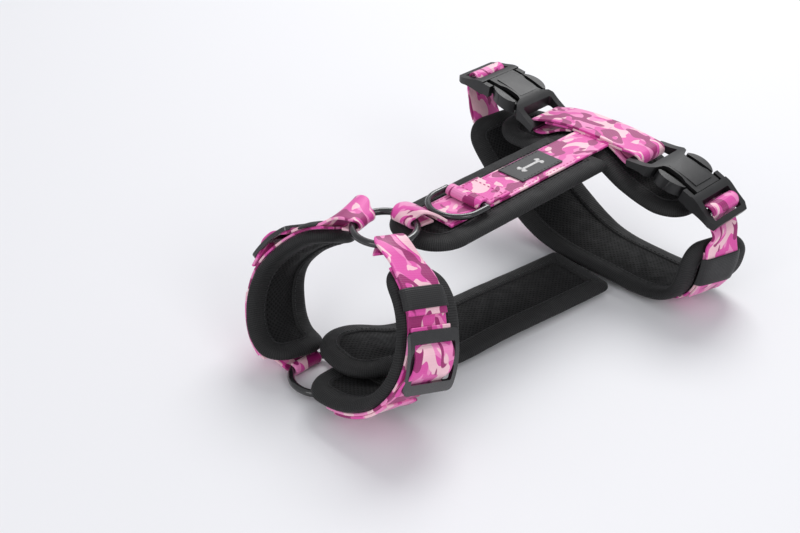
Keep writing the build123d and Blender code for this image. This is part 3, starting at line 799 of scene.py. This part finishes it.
def spot(strap, along, height, across=0.0):
    return strap.point(np.array([float(along)]), np.array([float(across)]), np.array([float(height)]))[0]


def wide(strap, along, sign=1.0):
    """Direction across a strap at one place."""
    step = spot(strap, along, 0, sign) - spot(strap, along, 0, 0)
    return step / np.linalg.norm(step)


# ------------------------------------------------------------------ hard parts from the frame
def soften(node, material, width=0.4):
    """The same part with its edges slightly rounded, as moulding or casting leaves them."""
    source = frame["nodes"][node]
    bm = bmesh.new()
    bm.from_mesh(source.data)
    bmesh.ops.remove_doubles(bm, verts=bm.verts, dist=2e-6)
    bmesh.ops.dissolve_limit(bm, angle_limit=math.radians(1.5), verts=bm.verts, edges=bm.edges)
    for edge in bm.edges:
        edge.smooth = edge.is_manifold and edge.calc_face_angle(0.0) < math.radians(35)
    body = source["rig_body"]
    part = make_piece(f"{node}_part", bm, [material], body)
    add_bevel(part, width, 2, 40)
    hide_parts(node)
    return part


def dress(node, material):
    """Give a part of the frame its finish."""
    obj = frame["nodes"][node]
    obj.data.materials.clear()
    obj.data.materials.append(material)
    for polygon in obj.data.polygons:
        polygon.use_smooth = True


# ------------------------------------------------------------------ the harness's straps
def lean_point(u, v, origin):
    """Place in the neck loop's leaning plane: u across to the dog's left, v up."""
    return (origin[0] - math.sin(NECK_LEAN) * v, u, origin[1] + math.cos(NECK_LEAN) * v)


def neck_strap(front, rear):
    return Strap(
        [lean_point(u, v, NECK_FRONT) for u, v in front],
        [lean_point(u, v, NECK_REAR) for u, v in rear],
        (75, -8, 45),
    )


NECK_LEFT = neck_strap(
    [(14, 0), (27, -7), (40, -22), (45.5, -42), (39, -62), (22, -73.5), (-6, -76)],
    [(18, -9), (32, -15), (45.5, -28), (51, -43), (47, -61), (30, -73), (-6, -70.5)],
)
NECK_RIGHT = neck_strap(
    [(-27, 1), (-38, -4), (-52, -17), (-62.5, -36), (-60, -56), (-46, -70.5), (-28, -73)],
    [(-30, -12), (-43, -18), (-57, -29), (-64, -43), (-58, -60), (-42, -74), (-24, -73.5)],
)
BELLY = Strap(
    [(BELLY_FRONT_X, y, z) for y, z in
     [(83.5, 50), (83.5, 40), (82, 28), (76, 13), (62, 6.4), (35, 5.8), (5, 6.1), (-22, 10), (-45, 23),
      (-67, 42), (-80, 58), (-84, 68)]],
    [(BELLY_REAR_X, y, z) for y, z in
     [(90.5, 44), (94.5, 37), (95, 28), (90, 15), (78, 7.8), (55, 5.8), (30, 6.1), (11, 8.8), (-7, 17),
      (-26, 29), (-52, 46), (-84, 64)]],
    (-120, 10, 45),
)
BACK_LINE = (BACK_FRONT_X, -30, BACK_REAR_X)
BACK = Strap(
    [(x, -PAD_WIDTH / 2, BACK_Z) for x in BACK_LINE],
    [(x, PAD_WIDTH / 2, BACK_Z) for x in BACK_LINE],
    (0, 0, 0),
)
CROSS_LINE = [
    (-71, 67), (-60, 63.8), (-48, 63.2), (-36, 64.8), (-23, 70.8), (-9, 74.8), (5, 74.6), (18, 70),
    (30, 64.2), (52, 58.5), (71, 55.5),
]
CROSS = Strap(
    [(CROSS_FRONT_X, y, z) for y, z in CROSS_LINE],
    [(CROSS_REAR_X, y, z) for y, z in CROSS_LINE],
    (-128, 0, 0),
)
CHEST_YAW = math.radians(-6.6)


def chest_point(along, across, z):
    return (
        along * math.cos(CHEST_YAW) - across * math.sin(CHEST_YAW),
        8.0 + along * math.sin(CHEST_YAW) + across * math.cos(CHEST_YAW),
        z,
    )


CHEST_LINE = [(-94, 5.3), (-50, 5.3), (0, 5.3), (34, 5.6), (50, 11), (64, 17.5), (94, 20.4)]
CHEST = Strap(
    [chest_point(x, -PAD_WIDTH / 2, z) for x, z in CHEST_LINE],
    [chest_point(x, PAD_WIDTH / 2, z) for x, z in CHEST_LINE],
    (0, 0, 80),
)

# ------------------------------------------------------------------ building: padded straps
make_pad("back_pad", BACK, 22, 3)
make_pad("cross_pad", CROSS, 20, 20)
make_pad("belly_pad", BELLY, 15, 15)
make_pad("chest_pad", CHEST, 5, 21)
make_pad("neck_pad_left", NECK_LEFT, 15, 15)
make_pad("neck_pad_right", NECK_RIGHT, 15, 15)

# ------------------------------------------------------------------ building: webbing on the straps
WEB_EDGE = WEB_WIDTH / 2 - 1.6
back_end = BACK.length + 20
make_webbing("back_webbing_top", BACK, 23, back_end, nodes=["back_webbing"])
seam("back_webbing_stitches", BACK, [(26, back_end - 36, s * WEB_EDGE, STITCH_HEIGHT) for s in (-1, 1)])
for hand, strap, stop in (("left", NECK_LEFT, 0.86), ("right", NECK_RIGHT, 0.9)):
    make_webbing(f"neck_webbing_{hand}_band", strap, 0.03 * strap.length, stop * strap.length,
                 across=NECK_WEB_ACROSS, nodes=[f"neck_webbing_{hand}"])
    span = (0.55 * strap.length, stop * strap.length - 2)
    seam(f"neck_webbing_{hand}_stitches", strap,
         [(*span, s * WEB_EDGE + NECK_WEB_ACROSS, STITCH_HEIGHT) for s in (-1, 1)])
    make_webbing(f"neck_webbing_{hand}_return", strap, 0.58 * strap.length, (stop - 0.04) * strap.length,
                 height=6.1, width=24.2, across=NECK_WEB_ACROSS, cup=-0.5)
make_webbing("belly_webbing_band", BELLY, 6, BELLY.length - 8, nodes=["belly_webbing"])
seam("belly_webbing_stitches", BELLY, [(30, BELLY.length - 30, s * WEB_EDGE, STITCH_HEIGHT) for s in (-1, 1)])
make_webbing("chest_webbing_band", CHEST, 4, 138, nodes=["chest_webbing"])

for hand, strap, first, last, across in (
    ("neck_keeper_left", NECK_LEFT, 0.135, 0.215, NECK_WEB_ACROSS),
    ("neck_keeper_right", NECK_RIGHT, 0.05, 0.15, NECK_WEB_ACROSS),
    ("belly_keeper_left", BELLY, 0.04, 0.115, 0.0), ("belly_keeper_right", BELLY, 0.885, 0.96, 0.0),
):
    make_webbing(f"{hand}_band", strap, first * strap.length, last * strap.length, height=5.2,
                 width=29.5, across=across, thickness=1.0, material=KEEPER, slot="keeper",
                 nodes=[hand], cup=2.3, uneven=0.1)

# ------------------------------------------------------------------ building: hardware
for hand in ("left", "right"):
    soften(f"buckle_female_{hand}", PLASTIC.material, 0.6)
    soften(f"buckle_male_{hand}", PLASTIC.material, 0.6)
    for end in ("front", "rear"):
        soften(f"buckle_prong_{hand}_{end}", PLASTIC.material, 1.1)
    soften(f"tri_glide_{hand}", METAL.material, 0.6)
for ring in ("d_ring", "top_ring", "chest_ring"):
    dress(ring, METAL.material)

# ------------------------------------------------------------------ building: label
make_webbing("label_patch", BACK, 85.5, 120.5, height=5.75, width=19, across=-1.5, thickness=0.8,
             material=LABEL, slot="label", nodes=["label"], uneven=0.05)
LABEL_SEAM = [(87, 119, s * 8.4 - 1.5, 6.2) for s in (-1, 1)]
seam("label_seam", BACK, LABEL_SEAM, BLACK_THREAD)


def make_bone(centre_along, centre_across, height):
    """A plain bone worked in satin stitch."""
    places = []
    directions = []
    lengths = []
    for step in np.arange(-9.1, 9.2, 0.42):
        lobe = 2.1 ** 2 - (abs(step) - 7.1) ** 2
        if abs(step) < 6.2:
            found = [(0.0, 2.3)]
        elif lobe > 0:
            found = [(side * 1.7, 2 * math.sqrt(lobe)) for side in (-1, 1)]
        else:
            found = []
        for beside, length in found:
            here = spot(BACK, centre_along + step, height, centre_across + beside)
            places.append(here)
            directions.append(spot(BACK, centre_along + step, height, centre_across + beside + 1) - here)
            lengths.append(max(length, 0.6))
    sew("label_bone", places, directions, PALE_THREAD, lengths=lengths)


make_bone(103, -1.5, 6.2)

# ------------------------------------------------------------------ building: folds over the hardware
D_STRAP = [(-28, 81.9), (-22, 81.9), (-15, 81.9), (-10.5, 82.7), (-8.6, 84.6), (-6, 85.8), (-3.3, 84.8),
           (-2.3, 82.9), (-2.9, 81.9)]
make_ribbon("d_ring_strap_fold", [(x, 0, z) for x, z in D_STRAP], [(0, -1, 0)] * len(D_STRAP),
            [FOLD_WIDTH] * len(D_STRAP), (-10, 0, 70), nodes=["d_ring_strap"])
seam("d_ring_strap_seam", BACK, [(55, 69, s * 10.6, 7.4) for s in (-1, 1)])
for k, place in enumerate((54.5, 65.5)):
    cross_seam(f"d_ring_strap_cross_seam_{k}", BACK, place, 10.6, 7.4)

BAR_LEFT = (31.27, 76.46)
BAR_RIGHT = (-43.86, 73.19)
WRAP_R = 3.9


def round_bar(bar, first, last, count=5):
    """Places round a buckle's bar, by angle from +Y towards +Z."""
    angles = np.radians(np.linspace(first, last, count))
    return [(bar[0] + WRAP_R * math.cos(a), bar[1] + WRAP_R * math.sin(a)) for a in angles]


CROSS_WEB = [(12.5, 79.4), (17, 77.3), (23.5, 73.7)]
CROSS_WEB += round_bar(BAR_LEFT, -85, 95)
CROSS_WEB += [(21, 81.5), (12, 82.2), (0, 82.4), (-14, 82.2), (-26, 81.2), (-36, 79.2)]
CROSS_WEB += round_bar(BAR_RIGHT, 85, 265)
CROSS_WEB += [(-36, 70.6), (-29, 74.2), (-22, 77.5), (-16, 79.3)]
make_ribbon("cross_webbing_fold", [(GIRTH_X, y, z) for y, z in CROSS_WEB], [(1, 0, 0)] * len(CROSS_WEB),
            [FOLD_WIDTH] * len(CROSS_WEB), (GIRTH_X, 0, 40), nodes=["cross_webbing"])
UNDER_WEB = [(27, 81.2), (20, 80.7), (12, 80.95), (0, 81.1), (-14, 80.9), (-24, 79.9), (-36, 77.9)]
make_ribbon("cross_webbing_under", [(GIRTH_X + 0.6, y, z - 0.35) for y, z in UNDER_WEB],
            [(1, 0, 0)] * len(UNDER_WEB), [24.0] * len(UNDER_WEB), (GIRTH_X, 0, 40))


def buckle_spot(hand, run, height):
    """Place on a buckle's curved middle, run along the strap from the seam and height out of the body."""
    origin, along, normal = BUCKLE_FRAMES[hand]
    out = (BUCKLE_R + height) * math.sin(run / BUCKLE_R)
    up = (BUCKLE_R + height) * math.cos(run / BUCKLE_R) - BUCKLE_R
    return (GIRTH_X, origin[0] + along[0] * out + normal[0] * up, origin[1] + along[1] * out + normal[1] * up)


BUCKLE_FRAMES = {
    "left": ((73.126, 68.19), (0.917, -0.399), (0.3987, 0.9171)),
    "right": ((-84.459, 86.322), (-0.9952, 0.0976), (0.0976, 0.9952)),
}
PILLOW = [
    (5.5, -3.6), (7.5, -1.9), (7.9, 0.6), (9.4, 3.5), (11.7, 4.5), (14.3, 3.6), (15.9, 0.6), (16.6, -2.2),
]
MALE_TAILS = {
    "left": [(-127.5, 87.6, 54.6), (-125, 91.4, 51.0)],
    "right": [(-128, -101.3, 79.5), (-127, -99.3, 74.5), (-124, -95.5, 69.5)],
}
for hand, reaches, sign in (("left", (3, 10, 18, 28, 35), -1), ("right", (5, 12, 20, 28, 35), -1)):
    places = [buckle_spot(hand, *at) for at in PILLOW] + MALE_TAILS[hand]
    across = [(1, 0, 0)] * len(places)
    for reach in reaches:
        along = reach if hand == "left" else BELLY.length - reach
        places.append(tuple(spot(BELLY, along, 6.15)))
        across.append(tuple(wide(BELLY, along, sign)))
    widths = [25.4] * len(PILLOW) + [FOLD_WIDTH] * (len(places) - len(PILLOW))
    tail, _ = make_ribbon(f"male_fold_{hand}", places, across, widths, (GIRTH_X, 0, 40),
                          nodes=[f"male_loop_{hand}"], body=None, uneven=0.3)
    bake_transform(tail)

GLIDES = (("left", NECK_LEFT, 0.395), ("right", NECK_RIGHT, 0.33))
GLIDE_FOLD = [(-15, 7.2), (-11.5, 7.3), (-7.2, 8.6), (-4.4, 11.0), (0, 11.9), (4.4, 11.0), (7.2, 8.6),
              (11.5, 7.3), (15, 7.2)]
for hand, strap, share in GLIDES:
    middle = share * strap.length
    places = [spot(strap, middle + run, h, NECK_WEB_ACROSS) for run, h in GLIDE_FOLD]
    across = [wide(strap, middle + run) for run, h in GLIDE_FOLD]
    make_ribbon(f"glide_fold_{hand}", places, across, [FOLD_WIDTH] * len(GLIDE_FOLD), (60, 0, 45),
                nodes=[f"glide_loop_{hand}"], body=f"glide_{hand}")


def ring_turn(centre, heading, low_reach):
    """Middle of webbing that comes in low, goes round a ring's wire and leaves high."""
    rise = 2.9
    fold = 14.2
    flat = [(low_reach, -rise), ((low_reach + fold) / 2, -rise)]
    flat += [(fold + rise * math.cos(a), rise * math.sin(a)) for a in np.radians((270, 225, 180, 135, 90))]
    out = Vector((math.cos(math.radians(heading)), math.sin(math.radians(heading)), 0))
    return [tuple(centre + out * run + Vector((0, 0, height))) for run, height in flat]


def ring_across(heading):
    return (math.sin(math.radians(heading)), -math.cos(math.radians(heading)), 0)


def make_ring_fold(name, centre, heading, low_reach, tail, widths, inside, flip=1.0):
    """Webbing folded round a ring and led on to where it is sewn."""
    places = ring_turn(centre, heading, low_reach)
    across = [ring_across(heading)] * len(places)
    for place, direction in tail:
        places.append(tuple(place))
        across.append(tuple(Vector(direction) * flip))
    full = [20.0, 18.0, 15.5, 14.5, 14.0, 14.5, 16.0] + list(widths)
    return make_ribbon(f"{name}_fold", places, across, full, inside, nodes=[name], uneven=0.35)


def along_strap(strap, alongs, height, sign):
    return [(spot(strap, a, height, NECK_WEB_ACROSS), wide(strap, a, sign)) for a in alongs]


make_ring_fold(
    "front_loop", TOP_RING, 180, 26.5,
    [((29.4, -6.4, 87.6), (0.1, 1, 0.18)), ((24.6, -4.0, 86.2), (0.08, 1, 0.12)),
     ((20.4, -1.2, 83.2), (0, 1, 0))],
    (22.0, 24.6, 24.2), (30, 0, 60),
)
make_ring_fold("top_loop_left", TOP_RING, 56, 21, along_strap(NECK_LEFT, (2, 9, 17, 25, 30), 6.1, -1),
               (22.5, 24.4, 24.6, 24.6, 24.6), (60, 0, 45))
PILLOW_RIGHT = [((50.8, -26.5, 87.3), (-0.98, -0.2, 0.1)), ((53.4, -33.5, 86.3), (-0.98, -0.2, 0.1))]
make_ring_fold("top_loop_right", TOP_RING, -78, 21,
               PILLOW_RIGHT + along_strap(NECK_RIGHT, (5, 11, 17, 22.5), 6.1, 1),
               (21.5, 24.4, 24.4, 24.6, 24.6, 24.6), (60, 0, 45))


def make_chest_fold(name, heading, tail, widths, high_reach=20.0):
    places = ring_turn(CHEST_RING, heading, high_reach)
    places = [(x, y, 2 * CHEST_RING.z - z) for x, y, z in places]
    across = [ring_across(heading)] * len(places)
    for place, direction in tail:
        places.append(tuple(place))
        across.append(tuple(direction))
    full = [18.0] * (len(across) - len(tail)) + list(widths)
    make_ribbon(f"{name}_fold", places, across, full, (88, 0, 40), nodes=[name], uneven=0.25)


for hand, strap, heading, sign, lead in (
    ("left", NECK_LEFT, 90, 1, (88.5, 9.5, 2.0)), ("right", NECK_RIGHT, -90, 1, (88.0, -38.0, 2.1)),
):
    tail = [(lead, ring_across(heading))]
    for share in (0.83, 0.77):
        direction = wide(strap, share * strap.length)
        if np.dot(direction, ring_across(heading)) < 0:
            direction = -direction
        tail.append((spot(strap, share * strap.length, 6.1), direction))
    make_chest_fold(f"chest_loop_{hand}", heading, tail, (19.5, 23.5, 24.6), 15.5)
REAR_DROP = Vector((0, 0, -2.55))
rear_heading = 180 + math.degrees(CHEST_YAW)
rear_way = Vector((math.cos(math.radians(rear_heading)), math.sin(math.radians(rear_heading)), 0))
make_chest_fold(
    "chest_loop_rear", rear_heading,
    [(CHEST_RING + rear_way * run + REAR_DROP, ring_across(rear_heading)) for run in (22, 34, 46)],
    (20.0, 24.0, 24.6), 23.0,
)


# ------------------------------------------------------------------ stage, light and camera
def make_floor():
    bm = bmesh.new()
    bmesh.ops.create_grid(bm, x_segments=1, y_segments=1, size=6.0)
    mesh = bpy.data.meshes.new("floor")
    bm.to_mesh(mesh)
    bm.free()
    floor = bpy.data.objects.new("floor", mesh)
    bpy.context.scene.collection.objects.link(floor)
    paper = bpy.data.materials.new("pale_floor")
    paper.use_nodes = True
    shader = paper.node_tree.nodes["Principled BSDF"]
    shader.inputs["Base Color"].default_value = (0.82, 0.82, 0.84, 1)
    shader.inputs["Roughness"].default_value = 0.6
    mesh.materials.append(paper)


def add_light(name, place, aim, size, power, colour=(1, 1, 1)):
    light = bpy.data.lights.new(name, "AREA")
    light.shape = "RECTANGLE"
    light.size, light.size_y = size
    light.energy = power
    light.color = colour
    obj = bpy.data.objects.new(name, light)
    obj.location = place
    obj.rotation_euler = (Vector(aim) - Vector(place)).to_track_quat("-Z", "Y").to_euler()
    bpy.context.scene.collection.objects.link(obj)


def make_world():
    world = bpy.data.worlds.new("studio")
    world.use_nodes = True
    background = world.node_tree.nodes["Background"]
    background.inputs["Color"].default_value = (0.95, 0.96, 1.0, 1)
    background.inputs["Strength"].default_value = 0.56
    bpy.context.scene.world = world


def make_camera():
    camera = bpy.data.cameras.new("camera")
    camera.lens = 54
    camera.sensor_width = 36
    camera.clip_start = 0.01
    obj = bpy.data.objects.new("camera", camera)
    obj.location = (0.4172, 0.3813, 0.4054)
    aim = Vector((0.0437, -0.00115, 0.060))
    obj.rotation_mode = "QUATERNION"
    obj.rotation_quaternion = (aim - obj.location).to_track_quat("-Z", "Y")
    bpy.context.scene.collection.objects.link(obj)
    bpy.context.scene.camera = obj


make_floor()
make_world()
add_light("key", (-0.9, -0.5, 1.3), (0, 0, 0.03), (0.9, 0.7), 15)
add_light("side", (0.2, 1.4, 0.9), (0, 0, 0.04), (0.8, 0.6), 5)
add_light("front", (1.2, 0.2, 0.7), (0, 0, 0.04), (0.6, 0.6), 3)
make_camera()
bpy.context.scene.view_settings.view_transform = "Standard"
